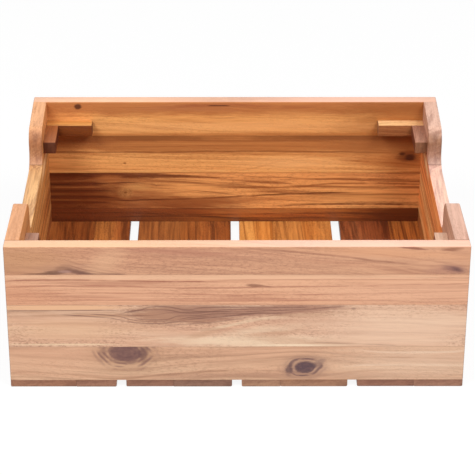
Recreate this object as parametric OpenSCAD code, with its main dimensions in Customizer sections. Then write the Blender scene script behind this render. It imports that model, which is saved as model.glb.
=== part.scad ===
// Slatted wooden crate with scooped sides.
// Edge-glued staves form the four boards, dowels hold the corners, and screws hold the floor slats.
// Millimetres. The origin is the middle of the underside, with +X to the right and +Z up.
// The front board faces -Y.

/* [Crate] */
// Overall width, from left to right
crate_w = 400; // [370:1:480]
// Overall depth, from front to rear
crate_d = 320; // [300:1:400]
// Overall height, with the floor slats
crate_h = 140; // [134:1:160]
// Thickness of the front, rear and side boards
board_t = 13; // [11:0.5:16]

/* [Front board] */
// Height of the lowest stave of the front board
front_stave_1_h = 34; // [28:1:37]
// Height of the second stave of the front board
front_stave_2_h = 42; // [36:1:45]
// Height of the third stave of the front board
front_stave_3_h = 30; // [26:1:34]

/* [Rear and side boards] */
// Height of the lowest stave of the rear and side boards
wall_stave_1_h = 15; // [12:1:20]
// Height of the second stave of the rear and side boards
wall_stave_2_h = 40; // [34:1:43]
// Height of the third stave of the rear and side boards
wall_stave_3_h = 41; // [34:1:44]

/* [Scooped sides] */
// Depth of the scoop below the rim
scoop_depth = 40; // [32:1:48]
// Radius of each bend at the ends of the scoop
scoop_radius = 15; // [8:0.5:16]
// Length of the rear shoulder, from the rear face to the first bend
rear_shoulder = 59; // [50:1:70]
// Length of the front shoulder, from the front face to the first bend
front_shoulder = 87; // [60:1:95]
// Fall of each shoulder below the rim at its bend
shoulder_drop = 4; // [2:0.5:8]

/* [Floor] */
// Thickness of the floor slats
slat_t = 7; // [6:0.5:10]
// Gap between neighbouring slats
slat_gap = 8.5; // [5:0.5:12]
// Width of the left stave of slat 1
slat_1_split = 58; // [30:1:62]
// Width of the left stave of slat 2
slat_2_split = 42; // [30:1:62]
// Width of the left stave of slat 3
slat_3_split = 34; // [30:1:62]
// Width of the left stave of slat 4
slat_4_split = 50; // [30:1:62]

/* [Corner cleats] */
// Depth of the cleats' tops below the rim
cleat_drop = 20; // [12:1:24]
// Width of the cleats, out from the board
cleat_w = 12; // [8:0.5:16]
// Height of the cleats
cleat_h = 12; // [8:0.5:16]
// Length of the cleats on the front and rear boards
long_cleat_l = 45; // [30:1:60]
// Length of the cleats on the side boards
short_cleat_l = 40; // [20:1:46]

/* [Corner dowels] */
// Diameter of the dowels
dowel_d = 6; // [4:0.5:7]
// Length of the dowels
dowel_l = 28; // [24:1:36]
// Length of each dowel that lies in the front or rear board
dowel_seat = 9; // [6:0.5:10]
// Height of the lowest dowel above the boards' lower edge
dowel_low = 25; // [20:1:30]
// Height of the middle dowel above the boards' lower edge
dowel_mid = 83; // [70:1:90]
// Depth of the highest dowel below the rim
dowel_top = 13; // [9:1:16]
// Space around a dowel in its hole
dowel_fit = 0.1; // [0.05:0.05:0.3]
// Space past each end of a dowel for spare glue
dowel_end_gap = 0.5; // [0.2:0.1:1]

/* [Floor screws] */
// Diameter of the screws' shanks
screw_d = 3.5; // [3:0.5:4]
// Diameter of the screws' heads
screw_head_d = 7; // [6:0.5:8]
// Height of the screws' heads
screw_head_h = 2.4; // [2:0.1:2.8]
// Length of the screws
screw_l = 25; // [20:1:30]
// Length of the screws' points
screw_point = 5; // [3:0.5:6]
// Depth of the heads below the slats' underside
screw_sink = 0.4; // [0.2:0.1:1]
// Space around a screw in its hole
screw_fit = 0.05; // [0.05:0.05:0.2]
// Distance of each screw from the edge of its slat
screw_inset = 19; // [12:1:22]
// Distance of the side boards' screws from the middle of the crate
side_screw_y = 80; // [50:1:110]
// Width of the slots in the screws' heads
slot_w = 0.9; // [0.6:0.1:1.2]
// Length of the slots in the screws' heads
slot_l = 4; // [3:0.1:4.5]
// Depth of the slots in the screws' heads
slot_depth = 1.3; // [0.8:0.1:1.6]

/* [Hidden] */

$fn = 64;
over = 1; // how far a cut runs past a face
left = -1;
right = 1;
front = -1;
rear = 1;
slat_count = 4;

half_w = crate_w / 2;
half_d = crate_d / 2;
inner_w = half_w - board_t;
inner_d = half_d - board_t;

// Levels of the joints between staves, from the boards' lower edge to the rim
front_levels = [
    slat_t,
    slat_t + front_stave_1_h,
    slat_t + front_stave_1_h + front_stave_2_h,
    slat_t + front_stave_1_h + front_stave_2_h + front_stave_3_h,
    crate_h
];
wall_levels = [
    slat_t,
    slat_t + wall_stave_1_h,
    slat_t + wall_stave_1_h + wall_stave_2_h,
    slat_t + wall_stave_1_h + wall_stave_2_h + wall_stave_3_h,
    crate_h
];

valley_z = crate_h - scoop_depth;
shoulder_z = crate_h - shoulder_drop;
rear_bend_y = half_d - rear_shoulder;
front_bend_y = -half_d + front_shoulder;
scoop_mid_y = (rear_bend_y + front_bend_y) / 2;

slat_w = (crate_w - (slat_count - 1) * slat_gap) / slat_count;
slat_pitch = slat_w + slat_gap;
slat_splits = [slat_1_split, slat_2_split, slat_3_split, slat_4_split];

cleat_z = crate_h - cleat_drop - cleat_h;
dowel_x = half_w - board_t / 2;
dowel_levels = [slat_t + dowel_low, slat_t + dowel_mid, crate_h - dowel_top];
screw_y = half_d - board_t / 2;

front_colours = ["#d3a17c", "#d8b087", "#d49a79", "#c99c78"];
rear_colours = ["#86421f", "#a9602c", "#c27a3c", "#c98643"];
side_colours = ["#8f4a22", "#b3672f", "#c17a3f", "#c98a55"];
slat_colours = [
    ["#8c4a24", "#a75b28"], ["#95502a", "#a65c2c"],
    ["#c9772f", "#b9691f"], ["#7d4226", "#97562f"]
];

// A plain stave of the front board (side = front) or the rear board (side = rear)
module wide_blank(side, low, high) {
    translate([-half_w, side == front ? -half_d : inner_d, low])
        cube([crate_w, board_t, high - low]);
}

// A plain stave of the left or right board, between the front and rear boards
module deep_blank(side, low, high) {
    translate([side == left ? -half_w : inner_w, -inner_d, low])
        cube([board_t, 2 * inner_d, high - low]);
}

// The space of one corner's dowels, grown by a fit around and past the ends
module corner_pins(side_x, side_y, fit, end_gap) {
    for (level = dowel_levels)
        translate([side_x * dowel_x, side_y * (inner_d + dowel_seat + end_gap), level])
            rotate([side_y * 90, 0, 0])
                cylinder(d = dowel_d + 2 * fit, h = dowel_l + 2 * end_gap);
}

module dowel_holes(side_x, side_y) {
    corner_pins(side_x, side_y, dowel_fit, dowel_end_gap);
}

// Places its children at both screws of every slat, under the front or rear board
module at_board_screws(side_y) {
    for (slat = [0 : slat_count - 1], from_edge = [screw_inset, slat_w - screw_inset])
        translate([-half_w + slat * slat_pitch + from_edge, side_y * screw_y, 0])
            children();
}

// Places its children at the screws under the left or right board
module at_side_screws(side_x) {
    for (side_y = [front, rear])
        translate([side_x * dowel_x, side_y * side_screw_y, 0])
            children();
}

// The hole that one floor screw needs, countersunk in the slat and blind in the board
module screw_hole() {
    shank_r = screw_d / 2 + screw_fit;
    head_r = screw_head_d / 2 + screw_fit;
    rotate_extrude()
        polygon([
            [0, -over], [head_r, -over], [head_r, screw_sink],
            [shank_r, screw_sink + screw_head_h], [shank_r, screw_sink + screw_l + screw_fit],
            [0, screw_sink + screw_l + screw_fit]
        ]);
}

module screw() {
    color("#b9b5a8")
        difference() {
            translate([0, 0, screw_sink])
                rotate_extrude()
                    polygon([
                        [0, 0], [screw_head_d / 2, 0], [screw_d / 2, screw_head_h],
                        [screw_d / 2, screw_l - screw_point], [0, screw_l]
                    ]);
            for (turn = [0, 90])
                rotate([0, 0, turn])
                    translate([-slot_l / 2, -slot_w / 2, screw_sink - over])
                        cube([slot_l, slot_w, slot_depth + over]);
        }
}

// The rounded bend between a shoulder and the steep wall of the scoop.
// The wall stands at y = 0, and the shoulder lies towards +Y.
module shoulder_bend() {
    difference() {
        translate([0, shoulder_z - scoop_radius])
            square([scoop_radius, scoop_radius + shoulder_drop + over]);
        translate([scoop_radius, shoulder_z - scoop_radius])
            circle(r = scoop_radius);
    }
}

// Outline of the wood that the scoop takes away, with y across and z up
module scoop_outline() {
    front_wall_y = front_bend_y + scoop_radius;
    rear_wall_y = rear_bend_y - scoop_radius;
    top_z = crate_h + over;
    translate([front_wall_y, valley_z + scoop_radius])
        square([rear_wall_y - front_wall_y, top_z - valley_z - scoop_radius]);
    translate([front_wall_y + scoop_radius, valley_z])
        square([rear_wall_y - front_wall_y - 2 * scoop_radius, scoop_radius + over]);
    for (y = [front_wall_y + scoop_radius, rear_wall_y - scoop_radius])
        translate([y, valley_z + scoop_radius])
            circle(r = scoop_radius);
    translate([rear_wall_y, 0])
        shoulder_bend();
    translate([front_wall_y, 0])
        mirror([1, 0])
            shoulder_bend();
    polygon([[rear_bend_y, shoulder_z], [inner_d, crate_h], [inner_d, top_z], [rear_bend_y, top_z]]);
    polygon([[front_bend_y, shoulder_z], [front_bend_y, top_z], [-inner_d, top_z], [-inner_d, crate_h]]);
}

module scoop(side) {
    translate([side == left ? -half_w - over : inner_w - over, 0, 0])
        rotate([90, 0, 90])
            linear_extrude(height = board_t + 2 * over)
                scoop_outline();
}

module front_stave(index) {
    color(front_colours[index])
        difference() {
            wide_blank(front, front_levels[index], front_levels[index + 1]);
            dowel_holes(left, front);
            dowel_holes(right, front);
            at_board_screws(front) screw_hole();
        }
}

module rear_stave(index) {
    color(rear_colours[index])
        difference() {
            wide_blank(rear, wall_levels[index], wall_levels[index + 1]);
            dowel_holes(left, rear);
            dowel_holes(right, rear);
            at_board_screws(rear) screw_hole();
        }
}

module side_stave(side, index) {
    color(side_colours[index])
        difference() {
            deep_blank(side, wall_levels[index], wall_levels[index + 1]);
            dowel_holes(side, front);
            dowel_holes(side, rear);
            at_side_screws(side) screw_hole();
            scoop(side);
        }
}

// The scoop cuts the top stave of a side board into a front and a rear shoulder
module side_shoulder(side, end) {
    intersection() {
        side_stave(side, 3);
        translate([-crate_w, end == front ? -crate_d : scoop_mid_y, 0])
            cube([2 * crate_w, crate_d + (end == front ? scoop_mid_y : 0), crate_h + over]);
    }
}

// One stave of a floor slat. part is left or right of the glue joint.
module slat_stave(index, part) {
    slat_x = -half_w + index * slat_pitch;
    split = slat_splits[index];
    color(slat_colours[index][part == left ? 0 : 1])
        difference() {
            translate([part == left ? slat_x : slat_x + split, -half_d, 0])
                cube([part == left ? split : slat_w - split, crate_d, slat_t]);
            at_board_screws(front) screw_hole();
            at_board_screws(rear) screw_hole();
            at_side_screws(left) screw_hole();
            at_side_screws(right) screw_hole();
        }
}

module long_cleat(side_x, side_y) {
    color("#b9783f")
        translate([
            side_x == left ? -inner_w : inner_w - long_cleat_l,
            side_y == front ? -inner_d : inner_d - cleat_w,
            cleat_z
        ])
            cube([long_cleat_l, cleat_w, cleat_h]);
}

module short_cleat(side_x, side_y) {
    color("#a5694a")
        translate([
            side_x == left ? -inner_w : inner_w - cleat_w,
            side_y == front ? -inner_d + cleat_w : inner_d - cleat_w - short_cleat_l,
            cleat_z
        ])
            cube([cleat_w, short_cleat_l, cleat_h]);
}

module dowels(side_x, side_y) {
    color("#dcbf91")
        corner_pins(side_x, side_y, 0, 0);
}

module board_screws(side_y) {
    at_board_screws(side_y) screw();
}

module side_screws(side_x) {
    at_side_screws(side_x) screw();
}

front_stave(0);  // front_stave_1
front_stave(1);  // front_stave_2
front_stave(2);  // front_stave_3
front_stave(3);  // front_stave_4
rear_stave(0);  // rear_stave_1
rear_stave(1);  // rear_stave_2
rear_stave(2);  // rear_stave_3
rear_stave(3);  // rear_stave_4
side_stave(left, 0);  // left_stave_1
side_stave(left, 1);  // left_stave_2
side_stave(left, 2);  // left_stave_3
side_shoulder(left, front);  // left_front_shoulder
side_shoulder(left, rear);  // left_rear_shoulder
side_stave(right, 0);  // right_stave_1
side_stave(right, 1);  // right_stave_2
side_stave(right, 2);  // right_stave_3
side_shoulder(right, front);  // right_front_shoulder
side_shoulder(right, rear);  // right_rear_shoulder
slat_stave(0, left);  // slat_1_left_stave
slat_stave(0, right);  // slat_1_right_stave
slat_stave(1, left);  // slat_2_left_stave
slat_stave(1, right);  // slat_2_right_stave
slat_stave(2, left);  // slat_3_left_stave
slat_stave(2, right);  // slat_3_right_stave
slat_stave(3, left);  // slat_4_left_stave
slat_stave(3, right);  // slat_4_right_stave
long_cleat(left, front);  // front_left_long_cleat
long_cleat(right, front);  // front_right_long_cleat
long_cleat(left, rear);  // rear_left_long_cleat
long_cleat(right, rear);  // rear_right_long_cleat
short_cleat(left, front);  // front_left_short_cleat
short_cleat(right, front);  // front_right_short_cleat
short_cleat(left, rear);  // rear_left_short_cleat
short_cleat(right, rear);  // rear_right_short_cleat
dowels(left, front);  // front_left_dowels
dowels(right, front);  // front_right_dowels
dowels(left, rear);  // rear_left_dowels
dowels(right, rear);  // rear_right_dowels
board_screws(front);  // front_floor_screws
board_screws(rear);  // rear_floor_screws
side_screws(left);  // left_floor_screws
side_screws(right);  // right_floor_screws
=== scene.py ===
"""Looks of a slatted hardwood crate: glued boards, floor slats, corner cleats, fixings, light and camera."""

import logging
import math
from collections.abc import Mapping
from dataclasses import dataclass
from enum import Enum
from typing import Any

import bpy
from mathutils import Matrix, Vector


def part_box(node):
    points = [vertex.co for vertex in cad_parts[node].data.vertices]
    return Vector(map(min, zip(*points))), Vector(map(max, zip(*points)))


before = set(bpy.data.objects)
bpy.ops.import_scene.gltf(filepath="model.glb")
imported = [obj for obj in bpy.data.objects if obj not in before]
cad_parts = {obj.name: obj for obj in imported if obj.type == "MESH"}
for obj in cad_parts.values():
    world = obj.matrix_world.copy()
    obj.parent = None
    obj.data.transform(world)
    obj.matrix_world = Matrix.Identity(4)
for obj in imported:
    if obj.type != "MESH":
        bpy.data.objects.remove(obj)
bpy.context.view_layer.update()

LOG = logging.getLogger("crate")
MM = 0.001
Socket = bpy.types.NodeSocket
Colour = tuple[float, float, float, float]
Triple = tuple[float, float, float]
WHITE: Colour = (1.0, 1.0, 1.0, 1.0)


def linear(code: str) -> Colour:
    """Turns a written colour into the linear values that shaders use.

    Args:
        code: The colour as six hex digits after a hash.

    Returns:
        Red, green, blue and alpha, each from 0 to 1.
    """
    parts = [int(code[i:i + 2], 16) / 255 for i in (1, 3, 5)]
    curve = [c / 12.92 if c <= 0.04045 else ((c + 0.055) / 1.055) ** 2.4 for c in parts]
    return (curve[0], curve[1], curve[2], 1.0)


class Lay(Enum):
    """Which way a board lies: its grain, then its thickness, then its width."""

    UPRIGHT_ACROSS = ("X", "Y", "Z")
    UPRIGHT_DEEP = ("Y", "X", "Z")
    FLAT_DEEP = ("Y", "Z", "X")

    @property
    def grain(self) -> Vector:
        """The direction that the grain runs in."""
        return Vector([1.0 if name == self.value[0] else 0.0 for name in "XYZ"])

    def place(self, point: Vector) -> Vector:
        """A point given along the grain, through the thickness and across the width."""
        return Vector([point["XYZ".index(name)] for name in self.value])


class Face(Enum):
    """The side of a board that its written colours belong to."""

    FRONT = (0.0, -1.0, 0.0)
    LEFT = (-1.0, 0.0, 0.0)
    RIGHT = (1.0, 0.0, 0.0)
    UP = (0.0, 0.0, 1.0)


class Side(Enum):
    """The left or the right of the crate, as the part names it."""

    LEFT = "left"
    RIGHT = "right"


class Graph:
    """Adds nodes to one node tree and joins them."""

    def __init__(self, tree: bpy.types.NodeTree) -> None:
        """Works on the given tree."""
        self.tree = tree

    def feed(self, socket: Socket, value: Any) -> None:
        """Links a socket to another one, or writes a constant on it."""
        if isinstance(value, bpy.types.NodeSocket):
            self.tree.links.new(value, socket)
        else:
            socket.default_value = value

    def add(
        self, kind: str, inputs: Mapping[int | str, Any] | None = None, **settings: Any
    ) -> bpy.types.Node:
        """Adds one node.

        Args:
            kind: The node's type name.
            inputs: What goes on its sockets, by name or number.
            settings: Its other settings.

        Returns:
            The new node.
        """
        node = self.tree.nodes.new(kind)
        for name, value in settings.items():
            setattr(node, name, value)
        for key, value in (inputs or {}).items():
            self.feed(node.inputs[key], value)
        return node

    def group(self, tree: bpy.types.NodeTree, **inputs: Any) -> bpy.types.NodeSocketVirtual:
        """Places a node group; an underscore in an input's name stands for a space.

        Args:
            tree: The group.
            inputs: What goes on its sockets.

        Returns:
            The group node's outputs.
        """
        node = self.tree.nodes.new("ShaderNodeGroup")
        node.node_tree = tree
        for name, value in inputs.items():
            self.feed(node.inputs[name.replace("_", " ")], value)
        return node.outputs

    def math(self, operation: str, *values: Any, clamp: bool = False) -> Socket:
        """Puts numbers through one Math node."""
        node = self.add("ShaderNodeMath", dict(enumerate(values)), operation=operation, use_clamp=clamp)
        return node.outputs[0]

    def times(self, one: Any, other: Any, clamp: bool = False) -> Socket:
        """One number times another."""
        return self.math("MULTIPLY", one, other, clamp=clamp)

    def plus(self, one: Any, other: Any) -> Socket:
        """One number and another."""
        return self.math("ADD", one, other)

    def minus(self, one: Any, other: Any) -> Socket:
        """One number less another."""
        return self.math("SUBTRACT", one, other)

    def most(self, one: Any, other: Any) -> Socket:
        """The larger of two numbers."""
        return self.math("MAXIMUM", one, other)

    def scaled(self, value: Any, scale: Any, start: Any, clamp: bool = False) -> Socket:
        """A number times a scale, added to a start."""
        return self.math("MULTIPLY_ADD", value, scale, start, clamp=clamp)

    def vector(self, operation: str, *values: Any) -> Socket:
        """Puts vectors through one Vector Math node; the answer is a vector."""
        return self.add("ShaderNodeVectorMath", dict(enumerate(values)), operation=operation).outputs[0]

    def length(self, value: Socket) -> Socket:
        """The length of a vector."""
        return self.add("ShaderNodeVectorMath", {0: value}, operation="LENGTH").outputs["Value"]

    def dot(self, one: Any, other: Any) -> Socket:
        """How far two directions agree."""
        node = self.add("ShaderNodeVectorMath", {0: one, 1: other}, operation="DOT_PRODUCT")
        return node.outputs["Value"]

    def split(self, value: Socket) -> tuple[Socket, Socket, Socket]:
        """The three parts of a vector."""
        node = self.add("ShaderNodeSeparateXYZ", {0: value})
        return node.outputs[0], node.outputs[1], node.outputs[2]

    def join(self, x: Any = 0.0, y: Any = 0.0, z: Any = 0.0) -> Socket:
        """A vector from its three parts."""
        return self.add("ShaderNodeCombineXYZ", {0: x, 1: y, 2: z}).outputs[0]

    def ease(self, value: Socket, low: Any, high: Any, start: Any = 0.0, end: Any = 1.0) -> Socket:
        """Eases a value from start to end as it goes from low to high."""
        inputs = {0: value, 1: low, 2: high, 3: start, 4: end}
        return self.add("ShaderNodeMapRange", inputs, interpolation_type="SMOOTHSTEP").outputs[0]

    def fall(self, value: Socket, low: Any, high: Any) -> Socket:
        """Eases a value from 1 down to 0 as it goes from low to high."""
        return self.ease(value, low, high, 1.0, 0.0)

    def mix(self, factor: Any, one: Any, other: Any, blend: str = "MIX") -> Socket:
        """Mixes two colours."""
        node = self.add("ShaderNodeMix", {0: factor, 6: one, 7: other}, data_type="RGBA", blend_type=blend)
        return node.outputs[2]

    def noise(self, place: Socket, detail: float, rough: float) -> Socket:
        """Smooth noise through space."""
        inputs = {"Vector": place, "Scale": 1.0, "Detail": detail, "Roughness": rough}
        return self.add("ShaderNodeTexNoise", inputs, noise_dimensions="3D").outputs[0]

    def cloud(self, place: Socket, pitch: Triple, detail: float, rough: float, drift: Any = None) -> Socket:
        """Smooth noise at its own pitch in each direction.

        Args:
            place: Where the noise is read.
            pitch: How fast it changes in each direction.
            detail: Its number of finer layers.
            rough: How strong the finer layers are.
            drift: What is added to the place, if anything.

        Returns:
            A number near 0.5.
        """
        if drift is None:
            return self.noise(self.vector("MULTIPLY", place, pitch), detail, rough)
        return self.noise(self.vector("MULTIPLY_ADD", place, pitch, drift), detail, rough)

    def noise_line(self, place: Socket, detail: float, rough: float) -> Socket:
        """Smooth noise along one number."""
        inputs = {"W": place, "Scale": 1.0, "Detail": detail, "Roughness": rough}
        return self.add("ShaderNodeTexNoise", inputs, noise_dimensions="1D").outputs[0]

    def surface(self, made: Any, bump: tuple[float, float], socket: str, value: float) -> None:
        """Ends a material with its shader.

        Args:
            made: The outputs of the group that gives its colour, roughness and height.
            bump: The strength and depth of the relief.
            socket: The name of one more socket on the shader.
            value: What is written on that socket.
        """
        inputs = {"Strength": bump[0], "Distance": bump[1], "Height": made["Height"]}
        relief = self.add("ShaderNodeBump", inputs)
        shader = self.add("ShaderNodeBsdfPrincipled", {
            "Base Color": made["Color"], "Roughness": made["Roughness"], "Normal": relief.outputs[0],
            socket: value,
        })
        self.add("ShaderNodeOutputMaterial", {"Surface": shader.outputs[0]})


def new_material(name: str) -> tuple[bpy.types.Material, Graph]:
    """An empty material and the graph that its nodes go on."""
    material = bpy.data.materials.new(name)
    material.use_nodes = True
    material.node_tree.nodes.clear()
    return material, Graph(material.node_tree)


def new_object(name: str, data: bpy.types.ID) -> bpy.types.Object:
    """Puts a new object in the scene."""
    obj = bpy.data.objects.new(name, data)
    bpy.context.collection.objects.link(obj)
    return obj


@dataclass
class Kit:
    """The shader node groups that the finishes share, each built once.

    A pitch says how fast a noise changes along the grain, through the board and across it.
    """

    slow_pitch: Triple = (5.0, 24.0, 24.0)
    fading_pitch: Triple = (9.0, 90.0, 90.0)
    line_pitch: Triple = (7.0, 260.0, 260.0)
    fibre_pitch: Triple = (17.0, 400.0, 400.0)
    speck_pitch: Triple = (230.0, 620.0, 620.0)
    zone_pitch: Triple = (12.0, 60.0, 60.0)
    patch_pitch: Triple = (40.0, 60.0, 260.0)
    streak_pitch: Triple = (30.0, 60.0, 60.0)
    fleck_pitch: Triple = (100.0, 900.0, 900.0)
    cloud_pitch: Triple = (100.0, 260.0, 55.0)
    end_shade: str = "#a08a8c"
    joint_tone: str = "#4a2a1a"

    def __post_init__(self) -> None:
        """Builds every group."""
        self.timber = self._timber()
        self.knot = self._knot()
        self.patch = self._patch()
        self.streak = self._streak()
        self.board = self._board()
        self.metal = self._metal()

    @staticmethod
    def _start(
        name: str, inputs: Mapping[str, Any], outputs: Mapping[str, str]
    ) -> tuple[Graph, Any, Any]:
        """Makes an empty group with named sockets.

        Args:
            name: The group's name.
            inputs: The default of each input; its form gives the socket's kind.
            outputs: The kind of each output.

        Returns:
            The group's graph, its inputs and its outputs.
        """
        tree = bpy.data.node_groups.new(name, "ShaderNodeTree")
        kinds = {1: "NodeSocketFloat", 3: "NodeSocketVector", 4: "NodeSocketColor"}
        for key, value in inputs.items():
            size = 1 if isinstance(value, float) else len(value)
            socket = tree.interface.new_socket(name=key, in_out="INPUT", socket_type=kinds[size])
            socket.default_value = value
        for key, kind in outputs.items():
            tree.interface.new_socket(name=key, in_out="OUTPUT", socket_type="NodeSocket" + kind)
        source = tree.nodes.new("NodeGroupInput")
        target = tree.nodes.new("NodeGroupOutput")
        return Graph(tree), source.outputs, target.inputs

    def _timber(self) -> bpy.types.NodeTree:
        """Plain figured wood, from rings about a tree's centre that lies off the board."""
        g, given, out = self._start(
            "Timber",
            {
                "Vector": (0.0, 0.0, 0.0), "Seed": 0.0, "Pith": (0.0, 0.03, -0.06), "Lean": 0.05,
                "Ring Gap": 0.004, "Wander": 0.006, "Body": (0.6, 0.4, 0.25, 1.0),
                "Pale": (0.8, 0.6, 0.4, 1.0), "Dark": (0.4, 0.2, 0.1, 1.0), "Lines": 0.5, "Bands": 0.5,
                "Grain": 0.3, "Pores": 0.3,
            },
            {"Color": "Color", "Lines": "Float", "Grain": "Float", "Pores": "Float"},
        )
        place, seed, dark, pale = given["Vector"], given["Seed"], given["Dark"], given["Pale"]
        drift = g.join(g.times(seed, 3.1), g.times(seed, 1.7), seed)
        sway = g.times(g.minus(g.cloud(place, self.slow_pitch, 2.0, 0.45, drift), 0.5), given["Wander"])
        x, y, z = g.split(g.vector("SUBTRACT", place, given["Pith"]))
        leant = g.scaled(x, given["Lean"], z)
        radius = g.plus(g.length(g.join(0.0, y, leant)), g.times(sway, 2.0))
        turns = g.math("DIVIDE", radius, given["Ring Gap"])
        count = g.scaled(seed, 13.7, turns)
        ring = g.noise_line(count, 2.5, 0.62)
        year = g.scaled(ring, 1.6, count)
        part = g.math("FRACT", year)
        late = g.times(g.ease(part, 0.3, 0.9), g.fall(part, 0.92, 1.0))
        weight = g.ease(g.noise_line(g.times(year, 0.7), 1.0, 0.5), 0.38, 0.66)
        fading = g.ease(g.cloud(place, self.fading_pitch, 1.0, 0.5, drift), 0.36, 0.58)
        late = g.times(g.times(late, weight), fading)
        streaky = g.cloud(place, self.line_pitch, 3.0, 0.6, drift)
        lines = g.ease(g.scaled(streaky, 0.45, g.times(ring, 0.6)), 0.5, 0.68)
        lines = g.most(lines, late)
        broad = g.noise_line(g.times(count, 0.23), 1.0, 0.4)
        wide = g.cloud(place, self.slow_pitch, 1.0, 0.4, drift)
        bands = g.ease(g.scaled(wide, 0.5, g.times(broad, 0.6)), 0.42, 0.68)
        fibre = g.cloud(place, self.fibre_pitch, 4.0, 0.72, drift)
        speck = g.cloud(place, self.speck_pitch, 2.0, 0.8, drift)
        zone = g.ease(g.cloud(place, self.zone_pitch, 1.0, 0.5, drift), 0.3, 0.6)
        pores = g.times(g.ease(speck, 0.49, 0.64), zone)
        sparkle = g.times(g.fall(speck, 0.34, 0.46), zone)
        colour = g.mix(g.times(bands, given["Bands"]), given["Body"], pale)
        colour = g.mix(g.times(lines, given["Lines"]), colour, dark)
        grain = g.times(g.fall(fibre, 0.36, 0.56), given["Grain"])
        colour = g.mix(grain, colour, g.mix(0.6, colour, dark))
        shine = g.times(g.ease(fibre, 0.52, 0.7), given["Grain"])
        colour = g.mix(shine, colour, g.mix(0.7, colour, pale))
        colour = g.mix(g.times(sparkle, given["Pores"]), colour, g.mix(0.5, colour, pale))
        colour = g.mix(g.times(pores, given["Pores"]), colour, dark)
        for name, value in {"Color": colour, "Lines": lines, "Grain": fibre, "Pores": pores}.items():
            g.feed(out[name], value)
        return g.tree

    def _knot(self) -> bpy.types.NodeTree:
        """A knot: a dark heart, broken rings and grain that bends round it."""
        g, given, out = self._start(
            "Knot",
            {
                "Vector": (0.0, 0.0, 0.0), "Centre": (0.0, 0.0, 0.0), "Half Size": (0.01, 1.0, 0.01),
                "Heart": 0.5, "Bend": 0.7, "Rings": 5.0, "Seed": 0.0,
            },
            {"Vector": "Vector", "Heart": "Float", "Rings": "Float", "Halo": "Float", "Mottle": "Float"},
        )
        away = g.vector("SUBTRACT", given["Vector"], given["Centre"])
        flat = g.vector("MULTIPLY", g.vector("DIVIDE", away, given["Half Size"]), (1.0, 0.0, 1.0))
        seed, heart = g.join(given["Seed"]), given["Heart"]
        rough = g.minus(g.cloud(flat, (1.7, 1.0, 1.7), 3.0, 0.6, seed), 0.5)
        slow = g.minus(g.cloud(flat, (0.8, 1.0, 0.8), 1.0, 0.5, seed), 0.5)
        size = g.length(flat)
        reach = g.scaled(rough, 0.55, size)
        ringed = g.scaled(rough, 0.12, g.scaled(slow, 0.55, size))
        wide = g.length(g.vector("MULTIPLY", flat, (0.42, 0.0, 0.62)))
        pull = g.math("EXPONENT", g.times(g.times(wide, wide), -1.0))
        squeeze = g.times(pull, given["Bend"])
        shift = g.times(g.split(away)[2], g.times(squeeze, -1.0))
        g.feed(out["Vector"], g.vector("ADD", given["Vector"], g.join(0.0, 0.0, shift)))
        g.feed(out["Heart"], g.fall(reach, g.times(heart, 0.7), g.times(heart, 1.2)))
        wave = g.math("FRACT", g.scaled(ringed, given["Rings"], given["Seed"]))
        crest = g.times(g.ease(wave, 0.1, 0.55), g.fall(wave, 0.7, 0.98))
        broken = g.ease(g.cloud(flat, (1.5, 0.0, 1.5), 2.0, 0.6, seed), 0.36, 0.58)
        rings = g.times(crest, g.fall(ringed, 0.85, 1.25))
        g.feed(out["Rings"], g.times(rings, broken))
        g.feed(out["Halo"], g.fall(reach, 0.4, 1.7))
        g.feed(out["Mottle"], g.ease(g.cloud(flat, (3.2, 1.0, 4.2), 3.0, 0.7, seed), 0.4, 0.66))
        return g.tree

    def _patch(self) -> bpy.types.NodeTree:
        """A soft or ragged oval of another tone, which may lean across the grain."""
        g, given, out = self._start(
            "Patch",
            {
                "Vector": (0.0, 0.0, 0.0), "Centre": (0.0, 0.0, 0.0), "Half Size": (0.01, 1.0, 0.01),
                "Lean": 0.0, "Soft": 0.5, "Ragged": 0.4, "Seed": 0.0,
            },
            {"Mask": "Float"},
        )
        x, _, z = g.split(g.vector("SUBTRACT", given["Vector"], given["Centre"]))
        slid = g.minus(z, g.times(x, given["Lean"]))
        reach = g.length(g.vector("DIVIDE", g.join(x, 0.0, slid), given["Half Size"]))
        drift = g.join(given["Seed"], given["Seed"])
        rough = g.minus(g.cloud(given["Vector"], self.patch_pitch, 4.0, 0.72, drift), 0.5)
        edge = g.scaled(g.times(rough, given["Ragged"]), 2.4, reach)
        g.feed(out["Mask"], g.fall(edge, g.minus(1.0, given["Soft"]), g.plus(1.0, given["Soft"])))
        return g.tree

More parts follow.
